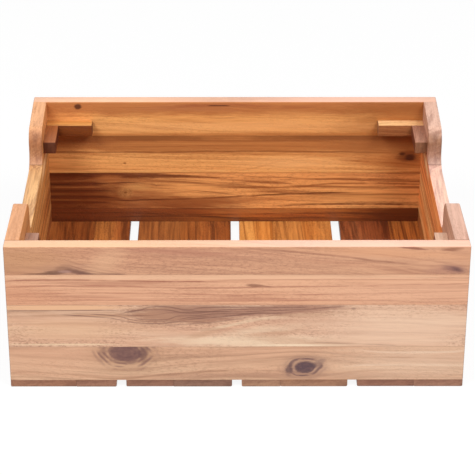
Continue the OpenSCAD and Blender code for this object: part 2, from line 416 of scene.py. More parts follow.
    def _streak(self) -> bpy.types.NodeTree:
        """A band that follows a drawn path along the board, whole or broken into thin lines."""
        g, given, out = self._start(
            "Streak",
            {
                "Vector": (0.0, 0.0, 0.0), "Path": 0.0, "Start": -0.1, "End": 0.1, "Fade": 0.02,
                "Above": 0.002, "Below": 0.002, "Lines": 0.5, "Ragged": 0.001, "Seed": 0.0,
            },
            {"Mask": "Float"},
        )
        x, _, z = g.split(given["Vector"])
        seed, start, end, fade = given["Seed"], given["Start"], given["End"], given["Fade"]
        rough = g.minus(g.cloud(given["Vector"], self.streak_pitch, 3.0, 0.55, g.join(seed, seed)), 0.5)
        off = g.minus(g.plus(z, g.times(rough, given["Ragged"])), given["Path"])
        up = g.math("DIVIDE", g.most(off, 0.0), given["Above"])
        down = g.math("DIVIDE", g.most(g.times(off, -1.0), 0.0), given["Below"])
        body = g.fall(g.plus(up, down), 0.35, 1.0)
        thin = g.noise(g.join(g.times(x, 9.0), seed, g.times(off, 520.0)), 2.0, 0.6)
        lined = g.times(body, g.ease(thin, 0.4, 0.62))
        whole = g.scaled(g.minus(lined, body), given["Lines"], body)
        along = g.noise(g.join(g.times(x, 34.0), seed, g.times(z, 60.0)), 2.0, 0.6)
        whole = g.times(whole, g.ease(along, 0.3, 0.55, 0.35, 1.0))
        first = g.ease(x, g.minus(start, fade), g.plus(start, fade))
        last = g.fall(x, g.minus(end, fade), g.plus(end, fade))
        g.feed(out["Mask"], g.times(whole, g.times(first, last)))
        return g.tree

    def _board(self) -> bpy.types.NodeTree:
        """What every board shares: end grain, its other faces (whose inside tone is partly painted shade),
        its edge-on faces (a painted highlight on the tops, painted shade on the cleats' upright faces),
        joint lines, sheen and surface relief.
        """
        g, given, out = self._start(
            "Board",
            {
                "Color": (0.6, 0.4, 0.25, 1.0), "Vector": (0.0, 0.0, 0.0), "Normal": (0.0, 0.0, 1.0),
                "Grain Way": (1.0, 0.0, 0.0), "Seen Way": (0.0, -1.0, 0.0), "Seam A": -0.01,
                "Seam B": 0.01, "Joint": 0.5, "Other Saturation": 1.0, "Other Value": 1.0,
                "Edge Saturation": 0.9, "Edge Value": 1.1, "Edge Tint": WHITE, "End Dark": 0.5,
                "End Color": (0.1, 0.04, 0.02, 1.0), "Lines": 0.0, "Grain": 0.5, "Pores": 0.0,
            },
            {"Color": "Color", "Roughness": "Float", "Height": "Float"},
        )
        normal, wood = given["Normal"], given["Color"]
        agree = g.dot(normal, given["Seen Way"])
        # Faces edge-on to the seen face take the Edge tone: lighter and paler on the boards' tops, a painted
        # highlight, and multiplied darker by the tint on the cleats' upright faces, painted shade.
        side = g.times(g.fall(agree, 0.35, 0.75), g.ease(agree, -0.75, -0.35))
        turned, painted_edge_light_and_shade = (
            g.add("ShaderNodeHueSaturation", {
                "Saturation": given[f"{name} Saturation"], "Value": given[f"{name} Value"], "Color": wood,
            }).outputs[0]
            for name in ("Other", "Edge")
        )
        # Faces turned away from the seen face take the Other tone; the inside's richer tone against the
        # outside is partly the wood's own, partly painted shade and interreflected light.
        colour = g.mix(g.fall(agree, -0.75, -0.35), wood, turned)
        colour = g.mix(side, colour, g.mix(1.0, painted_edge_light_and_shade, given["Edge Tint"], "MULTIPLY"))
        end = g.ease(g.math("ABSOLUTE", g.dot(normal, given["Grain Way"])), 0.3, 0.9)
        fleck = g.cloud(given["Vector"], self.fleck_pitch, 2.0, 0.6)
        cloud = g.cloud(given["Vector"], self.cloud_pitch, 3.0, 0.6)
        dusk = g.scaled(g.minus(fleck, 0.5), 0.3, given["End Dark"])
        colour = g.mix(g.times(end, dusk, clamp=True), colour, given["End Color"])
        shade = g.times(g.ease(cloud, 0.38, 0.64), g.times(end, 0.46))
        colour = g.mix(shade, colour, g.mix(1.0, colour, linear(self.end_shade), "MULTIPLY"))
        z = g.split(given["Vector"])[2]
        near = [
            g.fall(g.math("ABSOLUTE", g.minus(z, given[name])), 0.1 * MM, 0.8 * MM)
            for name in ("Seam A", "Seam B")
        ]
        colour = g.mix(g.times(g.most(*near), given["Joint"]), colour, linear(self.joint_tone))
        g.feed(out["Color"], colour)
        dull = g.scaled(given["Pores"], 0.12, g.scaled(given["Grain"], -0.12, 0.54))
        g.feed(out["Roughness"], g.scaled(end, 0.16, dull, clamp=True))
        relief = g.scaled(given["Lines"], -0.35, given["Grain"])
        g.feed(out["Height"], g.scaled(given["Pores"], -0.9, relief))
        return g.tree

    def _metal(self) -> bpy.types.NodeTree:
        """Plated steel: faint clouding and turning marks."""
        g, given, out = self._start(
            "Plated",
            {"Vector": (0.0, 0.0, 0.0), "Body": (0.6, 0.6, 0.6, 1.0), "Dull": (0.4, 0.4, 0.38, 1.0)},
            {"Color": "Color", "Roughness": "Float", "Height": "Float"},
        )
        cloud = g.cloud(given["Vector"], (420.0, 420.0, 420.0), 3.0, 0.6)
        g.feed(out["Color"], g.mix(g.ease(cloud, 0.4, 0.7), given["Body"], given["Dull"]))
        g.feed(out["Roughness"], g.scaled(cloud, 0.25, 0.22))
        g.feed(out["Height"], g.cloud(given["Vector"], (900.0, 900.0, 5200.0), 2.0, 0.6))
        return g.tree


@dataclass(frozen=True)
class Knot:
    """A knot; its place and size are in millimetres in the crate's frame, with the grain and across it."""

    along: float
    height: float
    half_length: float
    half_height: float
    heart: float = 0.5
    bend: float = 0.7
    rings: float = 5.0
    seed: float = 0.0
    heart_colour: str = "#4b3236"
    ring_colour: str = "#6b4740"
    halo_colour: str = "#b08a70"
    strength: float = 0.9
    halo_share: float = 0.45
    ring_share: float = 0.8


@dataclass(frozen=True)
class Patch:
    """A soft mark of another tone, placed as a knot is."""

    along: float
    height: float
    half_length: float
    half_height: float
    colour: str
    strength: float = 0.6
    soft: float = 0.6
    ragged: float = 0.4
    lean: float = 0.0


@dataclass(frozen=True)
class Streak:
    """A band along a drawn path of (along, height) points, in millimetres in the crate's frame."""

    path: tuple[tuple[float, float], ...]
    above: float
    below: float
    colour: str
    strength: float = 0.6
    lines: float = 0.5
    ragged: float = 1.5
    fade: float = 15.0


Mark = Knot | Patch | Streak


@dataclass(frozen=True)
class WoodFinish:
    """The colours and figure of one stave."""

    body: str
    pale: str
    dark: str
    seed: float
    lines: float = 0.5
    bands: float = 0.6
    grain: float = 0.35
    pores: float = 0.25
    ring_gap: float = 4.0
    pith: tuple[float, float] = (30.0, -60.0)
    lean: float = 0.05
    wander: float = 6.0
    marks: tuple[Mark, ...] = ()
    joint: float = 0.35
    # Saturation and value of the face behind the seen one; inside against outside this is partly the wood's
    # own tone, partly painted shade and interreflected light.
    other: tuple[float, float] = (1.0, 1.0)
    # Saturation and value of the faces edge-on to the seen one; lighter on the tops, a painted highlight.
    edge: tuple[float, float] = (0.95, 1.1)
    # A tint multiplied into those edge-on faces; the cleats' darker tints are painted shade.
    side_shade_tint: str = "#ffffff"
    end_dark: float = 0.45
    end_colour: str = "#5a3526"
    relief: tuple[float, float] = (0.35, 0.0004)
    gloss: float = 0.4
    seed_step: float = 2.3

    def make(
        self, kit: Kit, node: str, lay: Lay, face: Face, seams: tuple[float, ...] = ()
    ) -> bpy.types.Material:
        """Makes the stave's material.

        Args:
            kit: The shared node groups.
            node: The stave's name in the frame.
            lay: Which way the stave lies.
            face: The side that the colours belong to.
            seams: Where, across its width, the stave is glued to the next one.

        Returns:
            The finished material.
        """
        low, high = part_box(node)
        centre = (low + high) / 2
        material, g = new_material("Wood " + node.replace("_", " "))
        place = g.add("ShaderNodeTexCoord").outputs["Object"]
        parts = dict(zip("XYZ", g.split(g.vector("SUBTRACT", place, centre))))
        board = g.join(*[parts[name] for name in lay.value])
        mid = lay.place(centre)
        flow = board
        knots: list[tuple[Knot, Any]] = []
        for mark in self.marks:
            if isinstance(mark, Knot):
                made = g.group(
                    kit.knot, Vector=flow, Centre=self._spot(mark, mid), Half_Size=self._reach(mark),
                    Heart=mark.heart, Bend=mark.bend, Rings=mark.rings, Seed=mark.seed,
                )
                knots.append((mark, made))
                flow = made["Vector"]
        wood = g.group(
            kit.timber, Vector=flow, Seed=self.seed, Pith=(0.0, self.pith[0] * MM, self.pith[1] * MM),
            Lean=self.lean, Ring_Gap=self.ring_gap * MM, Wander=self.wander * MM, Body=linear(self.body),
            Pale=linear(self.pale), Dark=linear(self.dark), Lines=self.lines, Bands=self.bands,
            Grain=self.grain, Pores=self.pores,
        )
        colour = wood["Color"]
        for index, mark in enumerate(self.marks):
            if not isinstance(mark, Knot):
                mask = self._mask(g, kit, mark, self.seed + index * self.seed_step, board, flow, mid)
                colour = g.mix(g.times(mask, mark.strength), colour, linear(mark.colour))
        for mark, made in knots:
            ring = linear(mark.ring_colour)
            halo = g.times(made["Halo"], mark.halo_share * mark.strength)
            colour = g.mix(halo, colour, linear(mark.halo_colour))
            colour = g.mix(g.times(made["Rings"], mark.ring_share * mark.strength), colour, ring)
            heart = g.mix(made["Mottle"], linear(mark.heart_colour), ring)
            colour = g.mix(g.times(made["Heart"], mark.strength), colour, heart)
        glued = [seam - mid.z for seam in seams] or [-1.0, 1.0]
        done = g.group(
            kit.board, Color=colour, Vector=board, Normal=g.add("ShaderNodeNewGeometry").outputs["Normal"],
            Grain_Way=lay.grain, Seen_Way=face.value, Seam_A=glued[0], Seam_B=glued[-1], Joint=self.joint,
            Other_Saturation=self.other[0], Other_Value=self.other[1], Edge_Saturation=self.edge[0],
            Edge_Value=self.edge[1], Edge_Tint=linear(self.side_shade_tint), End_Dark=self.end_dark,
            End_Color=linear(self.end_colour), Lines=wood["Lines"], Grain=wood["Grain"],
            Pores=wood["Pores"],
        )
        g.surface(done, self.relief, "Specular IOR Level", self.gloss)
        return material

    @staticmethod
    def _spot(mark: Knot | Patch, mid: Vector) -> Triple:
        """A mark's middle in the board's own space."""
        return (mark.along * MM - mid.x, 0.0, mark.height * MM - mid.z)

    @staticmethod
    def _reach(mark: Knot | Patch) -> Triple:
        """Half of a mark's size; it runs through the board."""
        return (mark.half_length * MM, 1.0, mark.half_height * MM)

    def _mask(
        self, g: Graph, kit: Kit, mark: Patch | Streak, seed: float, board: Socket, flow: Socket, mid: Vector
    ) -> Socket:
        """Where a patch or streak lies.

        Args:
            g: The material's graph.
            kit: The shared node groups.
            mark: The patch or streak.
            seed: The seed of its ragged edge.
            board: The board's space.
            flow: The board's space after its knots have bent it.
            mid: The middle of the board.

        Returns:
            The mark's mask.
        """
        if isinstance(mark, Patch):
            return g.group(
                kit.patch, Vector=board, Centre=self._spot(mark, mid), Half_Size=self._reach(mark),
                Lean=mark.lean, Soft=mark.soft, Ragged=mark.ragged, Seed=seed,
            )["Mask"]
        start, end, path = self._path(g, mark, flow, mid)
        return g.group(
            kit.streak, Vector=flow, Path=path, Start=start, End=end, Fade=mark.fade * MM,
            Above=mark.above * MM, Below=mark.below * MM, Lines=mark.lines, Ragged=mark.ragged * MM,
            Seed=seed,
        )["Mask"]

    @staticmethod
    def _path(g: Graph, mark: Streak, flow: Socket, mid: Vector) -> tuple[float, float, Socket]:
        """Draws a streak's path as a curve.

        Args:
            g: The material's graph.
            mark: The streak.
            flow: The board's space after its knots have bent it.
            mid: The middle of the board.

        Returns:
            Where the streak starts and ends along the board, and its height there.
        """
        xs = [p[0] * MM - mid.x for p in mark.path]
        zs = [p[1] * MM - mid.z for p in mark.path]
        start, end = xs[0], xs[-1]
        low, rise = min(zs), max(max(zs) - min(zs), 1e-5)
        curve = g.add("ShaderNodeFloatCurve")
        line = curve.mapping.curves[0]
        spots = [((x - start) / (end - start), (z - low) / rise) for x, z in zip(xs, zs)]
        line.points[0].location = spots[0]
        for spot in spots[1:-1]:
            line.points.new(*spot)
        line.points[-1].location = spots[-1]
        curve.mapping.use_clip = True
        curve.mapping.update()
        share = g.math("DIVIDE", g.minus(g.split(flow)[0], start), end - start, clamp=True)
        g.feed(curve.inputs["Value"], share)
        return start, end, g.scaled(curve.outputs[0], rise, low)


@dataclass(frozen=True)
class SteelFinish:
    """Bright plated steel."""

    body: str = "#c9c8c4"
    dull: str = "#9d9b94"
    relief: tuple[float, float] = (0.2, 0.0001)

    def make(self, kit: Kit) -> bpy.types.Material:
        """Makes the material from the shared groups."""
        material, g = new_material("Plated steel")
        place = g.add("ShaderNodeTexCoord").outputs["Object"]
        made = g.group(kit.metal, Vector=place, Body=linear(self.body), Dull=linear(self.dull))
        g.surface(made, self.relief, "Metallic", 1.0)
        return material


@dataclass
class EasedEdges:
    """Rounds the outer edges of a node a little and leaves its glue joints and bores sharp."""

    width: float = 0.9 * MM
    segments: int = 3
    crease: float = math.radians(30)
    close: float = 1e-5
    weld_gap: float = 1e-6
    flat_angle: float = math.radians(0.4)

    def _planes(self, a: Vector, b: Vector, low: Vector, high: Vector) -> list[tuple[int, float]]:
        """The sides of the node's box that an edge lies in."""
        found = []
        for axis in range(3):
            for side in (low[axis], high[axis]):
                if abs(a[axis] - side) < self.close and abs(b[axis] - side) < self.close:
                    found.append((axis, side))
        return found

    def apply(
        self, obj: bpy.types.Object, joints: Mapping[int, tuple[float, ...]], profile: int | None = None
    ) -> None:
        """Adds the rounding as modifiers, so that the mesh itself stays as it is.

        Args:
            obj: The node's object.
            joints: For each axis, the places in metres where the node is glued to another.
            profile: The axis whose end faces carry a shaped outline, if any.
        """
        low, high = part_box(obj.name)
        mesh = obj.data
        spots = [tuple(round(c / self.close) for c in v.co) for v in mesh.vertices]
        facing: dict[frozenset, list[Vector]] = {}
        for face in mesh.polygons:
            for first, second in face.edge_keys:
                facing.setdefault(frozenset((spots[first], spots[second])), []).append(face.normal.copy())
        weights = mesh.attributes.new("bevel_weight_edge", "FLOAT", "EDGE")
        for edge in mesh.edges:
            a, b = (mesh.vertices[i].co for i in edge.vertices)
            normals = facing[frozenset(spots[i] for i in edge.vertices)]
            if min(normals[0].dot(n) for n in normals) > math.cos(self.crease):
                continue
            planes = self._planes(a, b, low, high)
            outline = any(axis == profile for axis, _ in planes)
            glued = any(
                abs(side - joint) < self.close for axis, side in planes for joint in joints.get(axis, ())
            )
            if (len(planes) >= 2 or outline) and not glued:
                weights.data[edge.index].value = 1.0
        weld = obj.modifiers.new("Weld", "WELD")
        weld.merge_threshold = self.weld_gap
        flat = obj.modifiers.new("Flat", "DECIMATE")
        flat.decimate_type = "DISSOLVE"
        flat.angle_limit = self.flat_angle
        ease = obj.modifiers.new("Ease", "BEVEL")
        ease.limit_method = "WEIGHT"
        ease.width = self.width
        ease.segments = self.segments
        ease.use_clamp_overlap = False
        shade = obj.modifiers.new("Shade", "NODES")
        shade.node_group = smooth_normals(self.crease)


def smooth_normals(crease: float) -> bpy.types.NodeTree:
    """A modifier's node tree that shades smooth below an angle and sharp above it.

    Args:
        crease: The angle in radians.

    Returns:
        The tree, which is built once.
    """
    name = "Smooth normals"
    if name in bpy.data.node_groups:
        return bpy.data.node_groups[name]
    tree = bpy.data.node_groups.new(name, "GeometryNodeTree")
    for way in ("INPUT", "OUTPUT"):
        tree.interface.new_socket(name="Geometry", in_out=way, socket_type="NodeSocketGeometry")
    g = Graph(tree)
    source = g.add("NodeGroupInput")
    bare = g.add("GeometryNodeRemoveAttribute", {"Geometry": source.outputs[0], "Name": "custom_normal"})
    faces = g.add("GeometryNodeSetShadeSmooth", {0: bare.outputs[0], "Shade Smooth": True}, domain="FACE")
    angle = g.add("GeometryNodeInputMeshEdgeAngle").outputs["Unsigned Angle"]
    soft = g.add("FunctionNodeCompare", {0: angle, 1: crease}, data_type="FLOAT", operation="LESS_THAN")
    edges = g.add(
        "GeometryNodeSetShadeSmooth", {0: faces.outputs[0], "Shade Smooth": soft.outputs[0]}, domain="EDGE"
    )
    g.add("NodeGroupOutput", {0: edges.outputs[0]})
    return tree


def dress(node: str, material: bpy.types.Material) -> bpy.types.Object:
    """Puts a material in every slot of a node and returns its object."""
    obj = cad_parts[node]
    for slot in obj.material_slots:
        slot.material = material
    return obj


# Saturation and value of a board's other face against its written one. The inside tones are richer and more
# saturated than the outside, and the bottom staves are darker inside: partly the wood's own oiled tone,
# partly painted shade and interreflected light of the box's inside.
OUTER_OF_INNER_TONE_AND_SHADE = (0.7, 0.93)
OUTER_OF_DARK_TONE_AND_SHADE = (0.7, 1.3)
INNER_TONE_AND_SHADE_OF_OUTER = (1.45, 0.82)


# What each stave shows, lowest stave first.
FRONT_MARKS: dict[str, tuple[Mark, ...]] = {
    "front_stave_1": (
        Knot(-97, 35.5, 27, 18, heart=0.6, bend=0.6, rings=5.2, seed=1.0, heart_colour="#6a4745",
             ring_colour="#7c564e", halo_colour="#a57c5c"),
        Patch(-118, 35, 3.0, 7, "#7c5850", 0.6, 0.6, 0.9, 0.3),
        Patch(-82, 34, 3.4, 8, "#664340", 0.75, 0.5, 0.8, 0.5),
        Knot(60, 20, 16.5, 10.5, heart=0.56, bend=0.6, rings=2.7, seed=4.35, heart_colour="#4a3640",
             ring_colour="#5f4246", halo_colour="#9c7660"),
        Patch(60, 20, 16, 9.5, "#8a6660", 0.35, 0.6, 1.2),
        Patch(46, 17.5, 2.8, 5.5, "#553a40", 0.85, 0.5, 0.9, 0.4),
        Patch(72, 24, 5.0, 3.2, "#66484a", 0.6, 0.5, 0.7, 0.5),
        Patch(-175, 25, 60, 14, "#dba584", 0.5, 0.8, 0.4),
        Patch(0, 11, 75, 2.6, "#ab7f66", 0.55, 0.7, 0.9, 0.01),
        Patch(95, 12, 70, 2.4, "#b48a70", 0.45, 0.7, 0.9),
        Patch(160, 25, 65, 16, "#e4bfa2", 0.65, 0.8, 0.5),
        Streak(((110, 37), (150, 35), (200, 37)), 1.4, 1.4, "#f0d2b6", 0.6, 0.5),
        Streak(((100, 21), (150, 22.5), (200, 21)), 1.5, 1.5, "#f0d2b6", 0.6, 0.5),
        Streak(((-200, 14), (-150, 17), (-110, 15), (-60, 18), (0, 17)), 1.4, 1.4, "#a27558", 0.55, 0.6),
        Streak(((-200, 11), (-140, 12), (-80, 10), (-20, 13)), 1.0, 1.0, "#a97c60", 0.5, 0.6),
        Streak(((80, 27), (130, 30), (200, 28)), 1.5, 1.5, "#b0856a", 0.55, 0.6),
        Streak(((90, 15), (140, 17), (200, 15)), 1.2, 1.2, "#b0856a", 0.5, 0.6),
    ),
    "front_stave_2": (
        Patch(-162, 80.6, 62, 2.6, "#e6b48c", 0.95, 0.35, 0.2),
        Streak(((-200, 75), (-150, 74), (-95, 74), (-70, 75)), 3.4, 4.2, "#b98b6c", 0.8, 0.6, 1.2, 15.0),
        Patch(-48, 73.5, 46, 9.5, "#a9795f", 0.85, 0.4, 0.6),
        Patch(-25, 76, 34, 8.0, "#9a6c5a", 0.5, 0.6, 0.8),
        Patch(38, 78, 52, 5.0, "#a87862", 0.85, 0.4, 0.6, 0.05),
        Patch(62, 73, 30, 2.6, "#b98d70", 0.6, 0.6, 0.8, 0.05),
        Streak(((-200, 77.4), (-150, 77.6), (-112, 77.8), (-92, 76.2), (-80, 77)), 0.9, 1.0, "#8a6250", 0.8,
               0.1, 0.5, 6.0),
        Streak(((-96, 75.8), (-84, 78.2), (-67, 81.6), (-52, 79.6), (-43, 78.2), (-33, 80.2), (-6, 81.2)),
               0.9, 1.0, "#7a5446", 0.75, 0.1, 0.5, 6.0),
        Streak(((-10, 80.4), (10, 80.9), (40, 80.6), (60, 81.2)), 1.0, 1.3, "#7c5648", 0.75, 0.2, 0.6, 6.0),
        Streak(((-150, 73.4), (-112, 70.2), (-72, 64.6), (-42, 68.8), (-12, 71.6), (20, 75.2)), 0.9, 1.0,
               "#785246", 0.75, 0.1, 0.5, 10.0),
        Streak(((-140, 74.8), (-108, 72.6), (-72, 66.4), (-40, 70.6), (-8, 73)), 0.7, 0.7, "#7a5244", 0.75,
               0.2, 0.5, 12.0),
        Streak(((-98, 74.6), (-66, 78.4), (-40, 75), (-8, 78.6), (30, 79)), 0.7, 0.8, "#7a5244", 0.75, 0.2,
               0.5, 10.0),
        Streak(((-40, 77.6), (-10, 76.2), (26, 77.2), (60, 78.8)), 0.8, 0.9, "#744c40", 0.75, 0.2, 0.5,
               10.0),
        Streak(((-64, 62.8), (-40, 64), (-10, 67.6), (18, 72.4)), 0.9, 1.2, "#9c7460", 0.7, 0.3, 0.8, 8.0),
        Streak(((-88, 71), (-74, 68.2), (-62, 68.4), (-50, 72.2), (-36, 72.4), (-22, 74), (0, 74.6)), 0.9,
               0.9, "#7c5648", 0.65, 0.2, 0.6, 6.0),
        Streak(((-104, 73.6), (-80, 72.6), (-58, 75.4), (-30, 76.2), (-5, 77.2)), 0.7, 0.7, "#7a5244", 0.8,
               0.2, 0.5, 6.0),
        Streak(((0, 74.2), (20, 74.8), (38, 74.8), (52, 77), (80, 80.6), (92, 81.4)), 0.9, 1.1, "#80594a",
               0.75, 0.1, 0.6, 6.0),
        Streak(((-62, 64.6), (-44, 66.4), (-26, 65.2)), 0.8, 0.8, "#8a6250", 0.7, 0.3, 0.6, 6.0),
        Streak(((-34, 57), (-12, 61.4), (12, 67.4), (36, 71)), 2.0, 2.2, "#e8caa8", 0.6, 0.4, 1.2, 14.0),
        Patch(101, 79.2, 2.0, 1.1, "#8a6454", 0.7, 0.7, 0.8),
        Patch(-150, 43.4, 46, 0.9, "#f0d2ac", 0.6, 0.4, 0.2),
        Patch(57, 42.6, 44, 1.0, "#f6dfbf", 0.75, 0.4, 0.2),
        Patch(5, 47, 60, 5.0, "#f1d6b6", 0.7, 0.7, 0.7),
        Patch(28, 59, 34, 3.6, "#eccdad", 0.6, 0.6, 0.7, 0.12),
        Patch(62, 66, 44, 6.0, "#cf9f82", 0.6, 0.8, 0.8, 0.04),
        Patch(-30, 54, 14, 3.0, "#c59a7b", 0.6, 0.7, 0.8, 0.3),
        Patch(32, 54, 26, 2.8, "#c79b7d", 0.6, 0.7, 0.8, 0.12),
        Patch(60, 46, 40, 3.0, "#c89c7e", 0.55, 0.7, 0.9, -0.06),
        Streak(((70, 45), (100, 44), (150, 41.6)), 1.1, 1.1, "#8c6552", 0.6, 0.3, 1.2),
        Patch(145, 58, 70, 16.0, "#edc9ac", 0.6, 0.8, 0.5),
        Patch(-150, 58, 60, 9.0, "#e0b18a", 0.5, 0.8, 0.7),
    ),
    "front_stave_3": (
        Patch(0, 110.8, 210, 2.6, "#edbf9b", 0.6, 0.6, 0.6),
        Streak(((-200, 106), (-150, 108), (-100, 107), (-20, 106)), 1.0, 1.0, "#a2664e", 0.85, 0.1, 1.2),
        Streak(((-20, 107.5), (80, 108), (200, 107)), 0.8, 0.8, "#b0755b", 0.6, 0.3, 1.2),
        Streak(((-200, 100), (-120, 102), (-40, 100), (60, 101), (200, 104)), 1.0, 1.0, "#a76b53", 0.75,
               0.25, 2.0),
        Streak(((-200, 92), (-100, 95), (0, 93), (100, 94), (200, 97)), 1.0, 1.0, "#a96d54", 0.75, 0.25,
               2.0),
        Streak(((-200, 86), (-120, 88), (0, 87), (200, 90)), 1.0, 1.0, "#ad7259", 0.65, 0.3, 2.0),
        Patch(150, 95, 70, 10, "#e6b190", 0.5, 0.8, 0.5),
        Patch(-190, 90, 30, 12, "#d79a76", 0.4, 0.8, 0.4),
        Patch(15, 102, 6.0, 1.5, "#915f48", 0.85, 0.6, 0.9, -0.08),
        Patch(24, 101.6, 5.0, 0.8, "#9a664f", 0.7, 0.5, 0.6, -0.1),
    ),
    "front_stave_4": (
        Patch(-150, 116.6, 20, 6.0, "#a87c68", 0.55, 0.7, 0.9),
        Patch(-159, 114.8, 13, 2.0, "#5a3630", 0.9, 0.5, 1.0, 0.1),
        Patch(-151, 118.4, 7, 3.2, "#80584a", 0.6, 0.7, 1.2, 0.3),
        Patch(-137, 115.6, 12, 2.2, "#6a433a", 0.85, 0.6, 1.0, -0.2),
        Patch(-148, 116.2, 5, 1.3, "#c0948a", 0.5, 0.6, 1.0),
        Streak(((-182, 113.8), (-165, 114), (-150, 114.2)), 0.8, 0.8, "#5f3c32", 0.85, 0.0, 0.4, 6.0),
        Streak(((-134, 114.2), (-120, 113.8), (-98, 113.6)), 0.8, 0.8, "#6b4638", 0.8, 0.0, 0.4, 6.0),
        Streak(((-144, 122.5), (-130, 117.5), (-112, 114.2)), 0.9, 0.9, "#8a5c48", 0.6, 0.1, 0.8, 6.0),
        Streak(((-148, 128), (-128, 121), (-102, 115)), 1.1, 1.1, "#a0715a", 0.5, 0.2, 1.0, 8.0),
        Patch(-188, 128, 42, 14, "#bf8b62", 0.6, 0.8, 0.5),
        Patch(-112, 127, 14, 10.0, "#dfae88", 0.5, 0.8, 0.6, 0.4),
        Patch(-50, 135, 50, 3.2, "#b27860", 0.6, 0.7, 0.8, -0.07),
        Streak(((-75, 139), (-50, 135), (-10, 131), (40, 127)), 1.2, 1.2, "#a8745a", 0.5, 0.3, 2.0, 20.0),
        Streak(((20, 138), (60, 134), (100, 129), (140, 124), (178, 120)), 1.4, 1.4, "#8f5c46", 0.7, 0.2,
               2.0, 25.0),
        Streak(((60, 139), (110, 134), (160, 127)), 1.0, 1.0, "#a87055", 0.5, 0.3, 1.5, 20.0),
        Streak(((-60, 131), (0, 128), (60, 123)), 1.2, 1.2, "#b07d63", 0.4, 0.4, 1.5, 20.0),
        Patch(130, 134, 60, 4.0, "#dba078", 0.6, 0.8, 0.5, -0.05),
        Patch(181, 117, 15, 4.5, "#b27e68", 0.65, 0.8, 0.8),
        Patch(186, 118.4, 8, 2.8, "#855a52", 0.7, 0.8, 1.1, -0.15),
        Patch(188, 118.2, 4, 1.8, "#5f3d40", 0.65, 0.8, 1.1, -0.3),
        Patch(150, 138.6, 11, 1.1, "#8a5240", 0.8, 0.5, 1.0, -0.12),
        Patch(183, 137.6, 8, 1.8, "#8f5a42", 0.8, 0.5, 1.2),
        Patch(125, 140.5, 120, 0.8, "#d8a284", 0.95, 0.5, 0.1),
        Patch(-130, 140.5, 130, 0.8, "#d49c68", 0.9, 0.6, 0.1),
    ),
}

